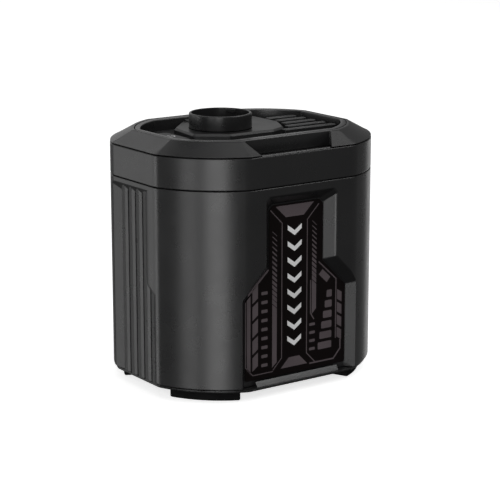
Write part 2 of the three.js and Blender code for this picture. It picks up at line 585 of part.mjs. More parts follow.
const SOCKET_BACK = 43.9;
const socketShell = block(-4.6, 4.6, BOARD.back + GAP, SOCKET_BACK, SOCKET.z - 1.7, SOCKET.z + 1.7);
const socketMouth = block(-4, 4, BOARD.back + 1.5, SOCKET_BACK + 1, SOCKET.z - 1.2, SOCKET.z + 1.2);
add("charging_socket", without(solid(socketShell), socketMouth), steel());

// The cover swings down about its lower outer edge.
function socketCover() {
  const back = HALF_DEPTH - COVER.thickness;
  const leaf = block(-COVER.width / 2, COVER.width / 2, back, HALF_DEPTH,
    SOCKET.z - COVER.height / 2, SOCKET.z + COVER.height / 2);
  const plug = block(-3.6, 3.6, SOCKET_BACK + GAP, back + 0.5, SOCKET.z - 1, SOCKET.z + 1);
  const nail = block(-3, 3, HALF_DEPTH - 0.7, HALF_DEPTH + 1,
    SOCKET.z + COVER.height / 2 - 1.4, SOCKET.z + COVER.height / 2 + 1);
  return without(joined(leaf, plug), nail);
}
add("socket_cover", socketCover(), rubber());

// ---------------------------------------------------------------- intake filter and case screws
const FILTER = { left: 24.5, right: 41.3, halfLength: 17, bottom: 102.4 };
add("intake_filter", block(FILTER.left, FILTER.right, -FILTER.halfLength, FILTER.halfLength,
  FILTER.bottom, DECK_BOTTOM - GAP), finish(0x55585a, 0.95));

for (const [sx, sy, place] of quarters) {
  addScrew(`base_screw_${place}`, screw(BASE_SCREW), sx * POST.x, sy * POST.y,
    BASE_BOTTOM - GAP - BASE_SCREW.headHeight);
  const deckScrew = addScrew(`deck_screw_${place}`, screw(DECK_SCREW), sx * POST.x, sy * POST.y,
    DECK_TOP - 0.1);
  deckScrew.rotation.x = Math.PI;
}

export default object;
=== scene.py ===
"""Looks of the portable air pump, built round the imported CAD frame.

Shapes are drawn in millimetres, in the row frame: +Z up, label face along -Y, left ribbed grip along -X.
Most of them are outlines lofted between heights, then cut with solids made the same way.
"""

import math

import bmesh
import bpy
from mathutils import Matrix, Vector


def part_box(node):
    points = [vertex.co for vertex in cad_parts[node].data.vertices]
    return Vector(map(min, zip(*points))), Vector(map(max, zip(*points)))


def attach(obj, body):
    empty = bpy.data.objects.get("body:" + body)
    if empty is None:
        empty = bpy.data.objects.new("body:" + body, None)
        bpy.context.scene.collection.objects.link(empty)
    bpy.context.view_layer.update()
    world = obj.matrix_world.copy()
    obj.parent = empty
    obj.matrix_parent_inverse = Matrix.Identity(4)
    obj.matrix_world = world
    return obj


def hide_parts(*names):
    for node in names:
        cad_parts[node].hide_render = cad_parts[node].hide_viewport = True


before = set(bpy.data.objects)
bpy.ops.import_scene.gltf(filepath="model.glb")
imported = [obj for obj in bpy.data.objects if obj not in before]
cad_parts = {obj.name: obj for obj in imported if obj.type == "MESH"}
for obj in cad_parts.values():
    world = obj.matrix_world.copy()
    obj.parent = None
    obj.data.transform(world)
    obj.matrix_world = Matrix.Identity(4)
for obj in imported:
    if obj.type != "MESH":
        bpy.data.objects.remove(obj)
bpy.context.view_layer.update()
MM = 0.001


# ---------------------------------------------------------------- driving dimensions, from the frame
def box_mm(node):
    low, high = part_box(node)
    return low / MM, high / MM


shell_low, shell_high = box_mm("lower_housing")
bezel_top = box_mm("top_bezel")[1].z
nozzle_low, nozzle_high = box_mm("air_nozzle")
label_low, label_high = box_mm("label_plate")
pan_bottom = box_mm("base_plate")[0].z
button_low, button_high = box_mm("power_button")
lens_low, lens_high = box_mm("status_lens")
cover_low, cover_high = box_mm("socket_cover")
grille_low, grille_high = box_mm("intake_grille")

# GAP is the clearance between parts that fit into each other, and INK is the height of a printed layer.
# Both sides of the seam stand SEAM_CREEP past their CAD edges, which leaves a thinner line between them.
GAP = 0.3
INK = 0.05
HALF_WIDTH = shell_high.x
HALF_DEPTH = shell_high.y
CORNER_CUT = 29.7
CORNER_BULGE = 4.6
EDGE_FILLET = 7
BODY_FILLET = 12
WALL = 2.6
BAND_BOTTOM = 95.1
BAND_TOP = 108.8
SLOPE_RUN = 9.7
SLOPE_BOTTOM = BAND_TOP + 0.4
RIM_WIDTH = 6
TRAY_STRETCH = 1.057
DECK_BOTTOM = 106.1
DECK_TOP = 107.9
POCKET_FLOOR = 109.6
ISLAND_TOP = 113.0
FOOT_TOP = 4.3
SEAM_CREEP = 0.14

CHORD = CORNER_CUT * math.sqrt(2)
ARC_RADIUS = CHORD ** 2 / (8 * CORNER_BULGE) + CORNER_BULGE / 2
ARC_INWARD = (ARC_RADIUS - CORNER_BULGE) / math.sqrt(2)
ARC_X = HALF_WIDTH - CORNER_CUT / 2 - ARC_INWARD
ARC_Y = HALF_DEPTH - CORNER_CUT / 2 - ARC_INWARD


# ---------------------------------------------------------------- plane outlines
def arc(centre, radius, start, end, steps):
    return [(centre[0] + radius * math.cos(start + (end - start) * i / steps),
             centre[1] + radius * math.sin(start + (end - start) * i / steps)) for i in range(steps + 1)]


def outline(inset, edge=EDGE_FILLET):
    """The octagon with bulged corner faces, moved inwards. Fillets of radius edge join them."""
    width, depth, radius = HALF_WIDTH - inset, HALF_DEPTH - inset, ARC_RADIUS - inset
    fillet = max(edge - inset, 0.8)
    side_x, end_y = width - fillet, depth - fillet
    side_y = ARC_Y + math.sqrt((radius - fillet) ** 2 - (side_x - ARC_X) ** 2)
    end_x = ARC_X + math.sqrt((radius - fillet) ** 2 - (end_y - ARC_Y) ** 2)
    first = math.atan2(side_y - ARC_Y, side_x - ARC_X)
    last = math.atan2(end_y - ARC_Y, end_x - ARC_X)
    corner = arc((side_x, side_y), fillet, 0, first, 6)
    corner += arc((ARC_X, ARC_Y), radius, first, last, 18)[1:-1]
    corner += arc((end_x, end_y), fillet, last, math.pi / 2, 6)
    mirrored = corner[::-1]
    return (corner + [(-x, y) for x, y in mirrored] + [(-x, -y) for x, y in corner]
            + [(x, -y) for x, y in mirrored])


def rounded(points, radius, steps=4):
    """A closed outline with its corners rounded. radius is one number, or one for each corner."""
    radii = [radius] * len(points) if isinstance(radius, (int, float)) else radius
    result = []
    for i, point in enumerate(points):
        corner = Vector(point)
        before, after = Vector(points[i - 1]) - corner, Vector(points[(i + 1) % len(points)]) - corner
        turn = math.pi - before.angle(after)
        if radii[i] <= 0 or turn < math.radians(3):
            result.append(tuple(corner))
            continue
        reach = min(radii[i] * math.tan(turn / 2), 0.48 * before.length, 0.48 * after.length)
        start, end = corner + before.normalized() * reach, corner + after.normalized() * reach
        for k in range(steps + 1):
            t = k / steps
            blend = start * (1 - t) ** 2 + corner * 2 * t * (1 - t) + end * t ** 2
            result.append(tuple(blend))
    return result


def moved_in(points, distance):
    """A closed counter-clockwise outline moved inwards, with its corners kept as mitres."""
    result = []
    for i, point in enumerate(points):
        here = Vector(point)
        arriving = (here - Vector(points[i - 1])).normalized()
        leaving = (Vector(points[(i + 1) % len(points)]) - here).normalized()
        normal = Vector((-arriving.y - leaving.y, arriving.x + leaving.x))
        if normal.length < 1e-6:
            result.append(tuple(here))
            continue
        normal.normalize()
        slant = max(normal.dot(Vector((-arriving.y, arriving.x))), 0.3)
        result.append(tuple(here + normal * distance / slant))
    return result


def rectangle(x0, x1, y0, y1):
    return [(x0, y0), (x1, y0), (x1, y1), (x0, y1)]


def circle(radius, x=0, y=0, sides=48):
    return [(x + radius * math.cos(2 * math.pi * i / sides), y + radius * math.sin(2 * math.pi * i / sides))
            for i in range(sides)]


# ---------------------------------------------------------------- meshes
def upright(u, v, w):
    return u, v, w


def on_front(u, v, w):
    """Drawn in X and Z, and raised towards the front by w from y = 0."""
    return u, -w, v


def on_back(u, v, w):
    return u, w, v


def make(name, vertices, faces):
    mesh = bpy.data.meshes.new(name)
    mesh.from_pydata([Vector(v) * MM for v in vertices], [], faces)
    shape = bmesh.new()
    shape.from_mesh(mesh)
    bmesh.ops.recalc_face_normals(shape, faces=shape.faces)
    shape.to_mesh(mesh)
    shape.free()
    piece = bpy.data.objects.new(name, mesh)
    bpy.context.scene.collection.objects.link(piece)
    return piece


def loft(name, rings, closed=False):
    """Joins rings of equally many points. A closed loft runs back to the first one."""
    count = len(rings[0])
    vertices = [point for ring in rings for point in ring]
    faces = []
    for r in range(len(rings) if closed else len(rings) - 1):
        a, b = r * count, (r + 1) % len(rings) * count
        faces += [(a + i, a + (i + 1) % count, b + (i + 1) % count, b + i) for i in range(count)]
    if not closed:
        last = (len(rings) - 1) * count
        faces += [tuple(range(count))[::-1], tuple(range(last, last + count))]
    return make(name, vertices, faces)


def top_plan(inset):
    """The outline of the bezel, which widens sideways across the rim and down into the tray."""
    across = min(max((inset - SLOPE_RUN) / RIM_WIDTH, 0), 1)
    return [(x * (1 + (TRAY_STRETCH - 1) * across), y) for x, y in outline(inset)]


def section_ring(name, profile, place=upright, plan=outline):
    """A closed section of (inset, height) points swept round an outline."""
    return loft(name, [[place(x, y, z) for x, y in plan(inset)] for inset, z in profile], closed=True)


def slab(name, points, bottom, top, place=upright, top_round=0.0, bottom_round=0.0, steps=3):
    """A flat piece with rounded edges above and below."""
    rings = []
    for i in range(steps + 1 if bottom_round else 1):
        angle = math.pi / 2 * i / steps
        inset = bottom_round * (1 - math.sin(angle)) if bottom_round else 0
        height = bottom + bottom_round * (1 - math.cos(angle)) if bottom_round else bottom
        rings.append((inset, height))
    for i in range(steps + 1 if top_round else 1):
        angle = math.pi / 2 * i / steps
        inset = top_round * (1 - math.cos(angle)) if top_round else 0
        height = top - top_round * (1 - math.sin(angle)) if top_round else top
        rings.append((inset, height))
    return loft(name, [[place(x, y, z) for x, y in (moved_in(points, inset) if inset else points)]
                       for inset, z in rings])


def turned(name, profile, x=0, y=0, sides=64):
    """A closed section of (radius, height) points turned about a vertical line."""
    rings = [[(x + r * math.cos(2 * math.pi * i / sides), y + r * math.sin(2 * math.pi * i / sides), z)
              for r, z in profile] for i in range(sides)]
    return loft(name, rings, closed=True)


def settle(piece):
    """Replaces the piece's mesh with the one that its modifiers give."""
    graph = bpy.context.evaluated_depsgraph_get()
    mesh = bpy.data.meshes.new_from_object(piece.evaluated_get(graph))
    piece.modifiers.clear()
    piece.data = mesh
    return piece


def combined(piece, tools, operation):
    for tool in tools:
        modifier = piece.modifiers.new("combine", "BOOLEAN")
        modifier.operation = operation
        modifier.solver = "EXACT"
        modifier.object = tool
        settle(piece)
        if not piece.data.polygons:
            raise ValueError(f"{piece.name}: nothing was left after {operation} with {tool.name}")
        bpy.data.objects.remove(tool)
    return piece


def cut(piece, *tools):
    return combined(piece, tools, "DIFFERENCE")


def joined(piece, *tools):
    return combined(piece, tools, "UNION")


def finished(piece, material, body="body", replaces=(), crease=38):
    """Shades the piece, gives it its material, puts it under its CAD body, and hides the CAD nodes it
    replaces.
    """
    mesh = piece.data
    mesh.polygons.foreach_set("use_smooth", [True] * len(mesh.polygons))
    mesh.set_sharp_from_angle(angle=math.radians(crease))
    weighted = piece.modifiers.new("weighted_normals", "WEIGHTED_NORMAL")
    weighted.keep_sharp = True
    mesh.materials.clear()
    mesh.materials.append(material)
    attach(piece, body)
    if replaces:
        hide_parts(*replaces)
    return piece


# ---------------------------------------------------------------- materials
class Graph:
    """A short way to write a node material."""

    def __init__(self, name):
        self.material = bpy.data.materials.new(name)
        self.material.use_nodes = True
        self.nodes = self.material.node_tree.nodes
        self.links = self.material.node_tree.links
        self.shader = self.nodes["Principled BSDF"]
        self.place = self.add("ShaderNodeTexCoord").outputs["Object"]

    def add(self, kind, inputs=None, **settings):
        node = self.nodes.new(kind)
        for key, value in settings.items():
            setattr(node, key, value)
        for key, value in (inputs or {}).items():
            self.feed(node.inputs[key], value)
        return node

    def feed(self, socket, value):
        if isinstance(value, bpy.types.NodeSocket):
            self.links.new(value, socket)
        else:
            socket.default_value = value

    def noise(self, scale, detail=2.0, roughness=0.5):
        return self.add("ShaderNodeTexNoise", {
            "Vector": self.place, "Scale": scale, "Detail": detail, "Roughness": roughness}).outputs["Fac"]

    def spread(self, value, low, high, start=0.3, end=0.7):
        """Maps value from start..end to low..high."""
        limits = {"Value": value, "From Min": start, "From Max": end, "To Min": low, "To Max": high}
        return self.add("ShaderNodeMapRange", limits).outputs["Result"]

    def mixed(self, factor, first, second):
        node = self.add("ShaderNodeMix", data_type="RGBA")
        self.feed(node.inputs["Factor"], factor)
        self.feed(node.inputs["A"], first)
        self.feed(node.inputs["B"], second)
        return node.outputs["Result"]

    def wear_and_highlight_edges(self, radius):
        """(edge mask, rounded normal): how far the rounded surface turns away from the true one. The mask
        lightens edges, partly as wear and partly as a painted highlight.
        """
        soft = self.add("ShaderNodeBevel", {"Radius": radius}, samples=6).outputs["Normal"]
        true = self.add("ShaderNodeNewGeometry").outputs["Normal"]
        agree = self.add("ShaderNodeVectorMath", operation="DOT_PRODUCT")
        self.feed(agree.inputs[0], soft)
        self.feed(agree.inputs[1], true)
        return self.spread(agree.outputs["Value"], 1.0, 0.0, 0.86, 0.995), soft

    def bump(self, height, distance, normal=None, strength=1.0):
        node = self.add("ShaderNodeBump", {"Height": height, "Distance": distance, "Strength": strength})
        if normal is not None:
            self.feed(node.inputs["Normal"], normal)
        return node.outputs["Normal"]


def lit(color, factor):
    return tuple(min(1.0, c * factor) for c in color[:3]) + (1.0,)


def plastic(name, color, roughness=0.5, specular=0.3, grain=2600, depth=0.000009, edge_wear_and_highlight=1.9):
    """Moulded plastic: fine spark-eroded grain, faint cloudiness, and edges a little lighter, partly as wear
    and partly as a painted highlight.
    """
    g = Graph(name)
    color = (*color, 1.0)
    cloudy = g.mixed(g.spread(g.noise(38, 4), 0, 1), lit(color, 0.86), lit(color, 1.14))
    edge, soft = g.wear_and_highlight_edges(0.00018)
    # Lighter edges: partly wear, partly a painted highlight along the edges.
    rubbed_and_highlit = g.mixed(g.spread(g.noise(420, 3), 0.2, 0.75), cloudy, lit(color, edge_wear_and_highlight))
    g.feed(g.shader.inputs["Base Color"], g.mixed(edge, cloudy, rubbed_and_highlit))
    g.feed(g.shader.inputs["Roughness"], g.spread(g.noise(95, 5), roughness - 0.02, roughness + 0.03))
    g.shader.inputs["Specular IOR Level"].default_value = specular
    g.feed(g.shader.inputs["Normal"], g.bump(g.noise(grain, 2, 0.6), depth, soft))
    return g.material


def rubber(name, color):
    g = Graph(name)
    color = (*color, 1.0)
    dusty = g.mixed(g.spread(g.noise(60, 5), 0, 1, 0.35, 0.75), lit(color, 0.8), lit(color, 1.7))
    edge, soft = g.wear_and_highlight_edges(0.0004)
    # Lighter edges: partly wear, partly a painted highlight along the edges.
    g.feed(g.shader.inputs["Base Color"], g.mixed(edge, dusty, lit(color, 1.9)))
    g.feed(g.shader.inputs["Roughness"], g.spread(g.noise(240, 3), 0.72, 0.92))
    g.shader.inputs["Specular IOR Level"].default_value = 0.12
    g.feed(g.shader.inputs["Normal"], g.bump(g.noise(1500, 3, 0.7), 0.00004, soft))
    return g.material


def metal(name, color, roughness=0.3, brushed=0.5):
    """Plated or drawn metal, with fine streaks and darker tarnish."""
    g = Graph(name)
    color = (*color, 1.0)
    tarnish = g.mixed(g.spread(g.noise(160, 5), 0, 1, 0.4, 0.75), color, lit(color, 0.6))
    edge, soft = g.wear_and_highlight_edges(0.0002)
    # Lighter edges: partly wear, partly a painted highlight along the edges.
    g.feed(g.shader.inputs["Base Color"], g.mixed(edge, tarnish, lit(color, 1.3)))
    g.shader.inputs["Metallic"].default_value = 1.0
    stretched = g.add("ShaderNodeMapping", {"Vector": g.place, "Scale": (1.0, 1.0, 0.05)}).outputs["Vector"]
    streaked = g.add("ShaderNodeTexNoise", {"Vector": stretched, "Scale": 2200.0, "Detail": 2.0})
    streaks = streaked.outputs["Fac"]
    g.feed(g.shader.inputs["Roughness"], g.spread(streaks, roughness - 0.06, roughness + 0.12))
    g.feed(g.shader.inputs["Normal"], g.bump(streaks, 0.000012 * brushed, soft))
    return g.material


def printed(name, color, roughness=0.42, specular=0.35):
    """Screen-printed ink or film, with a slight orange peel and tiny pinholes."""
    g = Graph(name)
    color = (*color, 1.0)
    pinhole = g.spread(g.noise(3800, 1), 1, 0, 0.24, 0.3)
    inked = g.mixed(g.spread(g.noise(55, 4), 0, 1), lit(color, 0.88), lit(color, 1.1))
    g.feed(g.shader.inputs["Base Color"], g.mixed(pinhole, inked, lit(color, 0.45)))
    g.feed(g.shader.inputs["Roughness"], g.spread(g.noise(180, 3), roughness - 0.05, roughness + 0.08))
    g.shader.inputs["Specular IOR Level"].default_value = specular
    g.feed(g.shader.inputs["Normal"], g.bump(g.noise(900, 2), 0.000012))
    return g.material


def foam(name, color):
    """Open-cell foam: lighter struts, with painted shade darkening the pores between them."""
    g = Graph(name)
    color = (*color, 1.0)
    cells = g.add("ShaderNodeTexVoronoi", {"Vector": g.place, "Scale": 900.0}, feature="DISTANCE_TO_EDGE")
    strut = g.spread(cells.outputs["Distance"], 1.0, 0.0, 0.04, 0.22)
    # The pores between the struts are painted dark as shade.
    g.feed(g.shader.inputs["Base Color"], g.mixed(strut, lit(color, 0.2), lit(color, 1.2)))
    g.feed(g.shader.inputs["Roughness"], g.spread(g.noise(300, 2), 0.85, 1.0))
    g.shader.inputs["Specular IOR Level"].default_value = 0.15
    g.feed(g.shader.inputs["Normal"], g.bump(strut, 0.0004))
    return g.material


def lens(name, color):
    g = Graph(name)
    color = (*color, 1.0)
    g.feed(g.shader.inputs["Base Color"], g.mixed(g.spread(g.noise(700, 2), 0, 1), color, lit(color, 0.7)))
    g.feed(g.shader.inputs["Roughness"], g.spread(g.noise(400, 2), 0.14, 0.24))
    g.shader.inputs["Transmission Weight"].default_value = 0.45
    g.shader.inputs["IOR"].default_value = 1.49
    g.feed(g.shader.inputs["Normal"], g.bump(g.noise(1200, 2), 0.00001))
    return g.material


def board(name, color):
    """Solder-masked circuit board: tracks show as slightly raised, lighter lines."""
    g = Graph(name)
    color = (*color, 1.0)
    tracks = g.add("ShaderNodeTexBrick", {"Vector": g.place, "Scale": 260.0, "Mortar Size": 0.06,
                                          "Color1": (0, 0, 0, 1), "Color2": (0.1, 0.1, 0.1, 1),
                                          "Mortar": (1, 1, 1, 1)}).outputs["Color"]
    g.feed(g.shader.inputs["Base Color"], g.mixed(tracks, color, lit(color, 1.8)))
    g.feed(g.shader.inputs["Roughness"], g.spread(g.noise(200, 3), 0.3, 0.45))
    g.feed(g.shader.inputs["Normal"], g.bump(tracks, 0.00003))
    return g.material


BLACK = (0.0125, 0.0125, 0.0128)
HOUSING = plastic("moulded_black_plastic", BLACK, roughness=0.28, specular=0.5)
DECK = plastic("moulded_black_plastic_deck", BLACK, roughness=0.36, specular=0.5)
BUTTON = plastic("button_plastic", (0.03, 0.03, 0.031), roughness=0.42, specular=0.35, grain=3400)
INNER = plastic("inner_plastic", (0.07, 0.074, 0.08), roughness=0.55, specular=0.35)
FAN = plastic("fan_plastic", (0.62, 0.63, 0.64), roughness=0.4, specular=0.45, edge_wear_and_highlight=1.1)
END_CAP = plastic("end_cap_plastic", (0.025, 0.026, 0.03), roughness=0.5)
SLEEVE = plastic("cell_sleeve_film", (0.03, 0.16, 0.29), roughness=0.3, specular=0.5, edge_wear_and_highlight=1.5)
# Black rubber whose colour is set darker still, as painted shade standing in for the shadow under the body.
SHADE_DARKENED_RUBBER = rubber("black_rubber", (0.0022, 0.0022, 0.0023))
SEAL = rubber("seal_rubber", (0.012, 0.012, 0.012))
STEEL = metal("zinc_plated_steel", (0.55, 0.56, 0.57), 0.3)
MAGNET = metal("sintered_magnet", (0.10, 0.10, 0.11), 0.5, brushed=0.2)
COPPER = metal("enamelled_copper", (0.58, 0.27, 0.12), 0.32)
FILM = printed("label_film", (0.0036, 0.0022, 0.0022), roughness=0.36, specular=0.12)
INK_GREY = printed("label_ink_grey", (0.085, 0.07, 0.075), roughness=0.5, specular=0.2)
INK_LIGHT = printed("label_ink_light", (0.7, 0.7, 0.7), roughness=0.5, specular=0.2)
FOAM = foam("filter_foam", (0.05, 0.052, 0.054))
LENS = lens("indicator_lens", (0.55, 0.6, 0.62))
BOARD = board("solder_mask_green", (0.012, 0.1, 0.045))


# ---------------------------------------------------------------- lower shell
LABEL_CENTRE = (label_low.x + label_high.x) / 2
LABEL = {"top": 86.3, "narrow": 15.0, "wide": 27.9, "diagonal": 73.0, "cut": 2.0, "depth": 4.9,
         "slope": 4.2}
RIBS = {"back": 18.4, "panel_front": 11.97, "valley": 11.91, "pitch": 5.85, "steepness": 2.6,
        "slant_from": -15}
RIB_DEPTHS = {"panel_back": 0.65, "panel_front": 1.3, "valley": 1.5, "ledge_back": 0.55, "ledge_front": 0.25,
              "facet_back": 0.5, "facet_front": 0.9}
GRIPS = [{"valleys": 4, "top": 92.7, "slant": 0.0}, {"valleys": 5, "top": 48.3, "slant": 0.66}]
BACKING = {"half_width": 36.0, "inner": 40.2, "top": 93.0}
POST = {"x": 40.6, "y": 30.1, "radius": 6.2, "bore": 1.75, "top": 93.5}
PORT = {"x": (cover_low.x + cover_high.x) / 2, "z": (cover_low.z + cover_high.z) / 2}
QUARTERS = [(-1, -1, "front_left"), (1, -1, "front_right"), (1, 1, "back_right"), (-1, 1, "back_left")]


def label_outline(inset, bottom):
    """The floor of the label recess in X and Z, counter-clockwise: narrow above, flared to a wide foot."""
    top, narrow, wide = LABEL["top"] - inset, LABEL["narrow"] - inset, LABEL["wide"] - inset
    diagonal = LABEL["diagonal"] - inset * math.sqrt(2)
    cut_off = LABEL["cut"]
    right = [(wide, bottom), (wide, diagonal - wide), (narrow, diagonal - narrow), (narrow, top - cut_off),
             (narrow - cut_off, top)]
    return [(LABEL_CENTRE + x, z) for x, z in right + [(-x, z) for x, z in right[::-1]]]


def recess_cutter():
    """The recess, widening towards the face, with a small round where it breaks out."""
    floor, face = HALF_DEPTH - LABEL["depth"], HALF_DEPTH
    slope = LABEL["slope"]
    levels = [(0, floor), (-(slope - 0.7), face - 0.85), (-(slope - 0.2), face - 0.4),
              (-(slope + 0.35), face - 0.1), (-(slope + 1.0), face + 0.05), (-(slope + 1.4), face + 4)]
    radii = [0, 1.6, 1.6, 0.9, 0.9, 0.9, 0.9, 1.6, 1.6, 0]
    return loft("recess", [[on_front(u, v, w) for u, v in rounded(label_outline(inset, -12), radii, 5)]
                           for inset, w in levels])


def rib_cutter(side, valleys, top, slant):
    """The space outside one grip. From the back: a wide sunken panel, then ledges and facets by turns.

    Every facet ends in a narrow valley. The ceiling falls steeply inwards, and with a slant also forwards.
    """
    outside, crest = HALF_WIDTH + 2, HALF_WIDTH + 0.02
    at = {place: HALF_WIDTH - depth for place, depth in RIB_DEPTHS.items()}
    back = RIBS["back"]
    points = [(outside, back + 0.05), (crest, back), (at["panel_back"], back - 0.05),
              (at["panel_front"], RIBS["panel_front"])]
    for i in range(valleys):
        y = RIBS["valley"] - i * RIBS["pitch"]
        if i:
            points.append((at["facet_front"], y))
        points += [(at["valley"], y - 0.1), (at["ledge_back"], y - 1.6), (at["ledge_front"], y - 3.75),
                   (at["facet_back"], y - 3.87)]
    points += [(crest, y - 6.35), (outside, y - 6.4)]
    low = [(side * x, y, shell_low.z - 2) for x, y in points]
    high = [(side * x, y, top + RIBS["steepness"] * (x - HALF_WIDTH) + slant * (y - RIBS["slant_from"]))
            for x, y in points]
    return loft("ribs", [low, high])


def lower_shell():
    seam = shell_high.z + SEAM_CREEP
    shell = loft("lower_shell", [[(x, y, z) for x, y in outline(inset, BODY_FILLET)] for inset, z in [
        (0.9, shell_low.z), (0.35, shell_low.z + 0.15), (0.1, shell_low.z + 0.4), (0, shell_low.z + 0.9),
        (0, seam - 0.45), (0.05, seam - 0.24), (0.18, seam - 0.07), (0.4, seam)]])
    cavity = slab("cavity", outline(WALL), shell_low.z - 1, shell_high.z + 1)
    reach = BACKING["half_width"]
    backing_plan = rectangle(-reach, reach, -HALF_DEPTH - 5, -BACKING["inner"])
    backing = slab("backing", backing_plan, shell_low.z - 3, BACKING["top"])
    posts = [slab("post", circle(POST["radius"], sx * POST["x"], sy * POST["y"], 32),
                  shell_low.z - 3, POST["top"]) for sx, sy, _ in QUARTERS]
    cut(cavity, backing, *posts)
    ribs = [rib_cutter(side, **grip) for side in (-1, 1) for grip in GRIPS]
    bores = [slab("bore", circle(POST["bore"], sx * POST["x"], sy * POST["y"], 20), 0, 100)
             for sx, sy, _ in QUARTERS]
    seat_outline = rectangle(cover_low.x - GAP, cover_high.x + GAP, cover_low.z - GAP, cover_high.z + GAP)
    seat = slab("seat", rounded(seat_outline, 1.8, 5), HALF_DEPTH - 1.9, HALF_DEPTH + 1, on_back)
    window_plan = rectangle(PORT["x"] - 6, PORT["x"] + 6, PORT["z"] - 3.3, PORT["z"] + 3.3)
    window = slab("window", rounded(window_plan, 2.4, 6), 40, HALF_DEPTH + 1, on_back)
    cut(shell, cavity, recess_cutter(), *ribs, *bores, seat, window)
    return finished(shell, HOUSING, replaces=["lower_housing"], crease=17)


lower_shell()


# ---------------------------------------------------------------- upper band, bezel and deck
def upper_band():
    lip_bottom = 93.4
    seam = BAND_BOTTOM - SEAM_CREEP
    profile = [(0.4, seam), (0.18, seam + 0.07), (0.05, seam + 0.24), (0, seam + 0.45),
               (0, BAND_TOP - 0.5), (0.06, BAND_TOP - 0.27), (0.2, BAND_TOP - 0.08), (0.45, BAND_TOP),
               (WALL, BAND_TOP), (WALL, BAND_BOTTOM + 3), (WALL + 1.6, BAND_BOTTOM + 3),
               (WALL + 1.6, lip_bottom), (WALL + GAP, lip_bottom), (WALL + GAP, seam)]
    band = section_ring("upper_band", profile, plan=lambda inset: outline(inset, BODY_FILLET))
    return finished(band, HOUSING, replaces=["upper_housing"])


NOTCH = {"back_left": -25.2, "back_right": 22.0, "front_left": -22.2, "front_right": 14.4, "back": -37.5}


def top_bezel():
    top, bottom = bezel_top, SLOPE_BOTTOM
    inner = SLOPE_RUN + RIM_WIDTH
    rise = (top - bottom) / SLOPE_RUN
    groove = 2.0
    profile = [(0.75, bottom), (0.3, bottom + 0.05), (0.1, bottom + 0.18), (0.22, bottom + 0.32),
               (0.6, bottom + 0.58 * rise + 0.1), (SLOPE_RUN - 0.6, top - 0.6 * rise - 0.03),
               (SLOPE_RUN - 0.15, top - 0.09), (SLOPE_RUN + 0.3, top),
               (SLOPE_RUN + groove - 0.25, top), (SLOPE_RUN + groove - 0.1, top - 0.08),
               (SLOPE_RUN + groove, top - 0.9), (SLOPE_RUN + groove + 0.5, top - 0.9),
               (SLOPE_RUN + groove + 0.6, top - 0.08), (SLOPE_RUN + groove + 0.75, top),
               (inner - 0.5, top), (inner - 0.15, top - 0.14), (inner, top - 0.5),
               (inner + 0.25, POCKET_FLOOR), (inner + 0.25, DECK_TOP + GAP), (WALL + GAP, DECK_TOP + GAP),
               (WALL + GAP, bottom)]
    bezel = section_ring("bezel_ring", profile, plan=top_plan)
    notch = rounded([(NOTCH["front_left"], -HALF_DEPTH - 1), (NOTCH["front_right"], -HALF_DEPTH - 1),
                     (NOTCH["back_right"], NOTCH["back"]), (NOTCH["back_left"], NOTCH["back"])],
                    [0, 0, 0.5, 1.2], 5)
    cut(bezel, slab("notch", notch, 100, 120))
    return finished(bezel, HOUSING, replaces=["top_bezel"])


def notch_lip():
    """A thin bright lip along the front of the notch, on top of the band."""
    y, z = -HALF_DEPTH, BAND_TOP
    section = [(y + 0.1, z - 0.1), (y + 0.1, z), (y + 0.4, z + 0.6), (y + 0.65, z + 0.66),
               (y + 0.85, z + 0.55), (y + 0.95, z + 0.3), (y + 0.95, z - 0.1)]
    ends = NOTCH["front_left"], NOTCH["front_right"]
    lip = loft("notch_lip", [[(x, u, w) for u, w in section] for x in ends])
    return finished(lip, HOUSING)


ISLAND = [(-14.5, -12.5), (9, -12.8), (16.5, -9.5), (19, -6.5), (24.5, 5), (24.5, 31.1), (-12, 31.1),
          (-25.5, 17), (-28, -2.5)]
NOZZLE = {"x": (nozzle_low.x + nozzle_high.x) / 2, "y": (nozzle_low.y + nozzle_high.y) / 2, "radius": 14.3,
          "mouth": 13.1, "tube": 12.2, "bore": 11.2, "base": ISLAND_TOP + GAP}
BUTTON_PLACE = ((button_low.x + button_high.x) / 2, (button_low.y + button_high.y) / 2)
BUTTON_SIZE = (9.0, 20.0)
LENS_PLACE = ((lens_low.x + lens_high.x) / 2, (lens_low.y + lens_high.y) / 2)
WINDOW = {"left": 26.2, "right": 40.0, "half_length": 16.0}


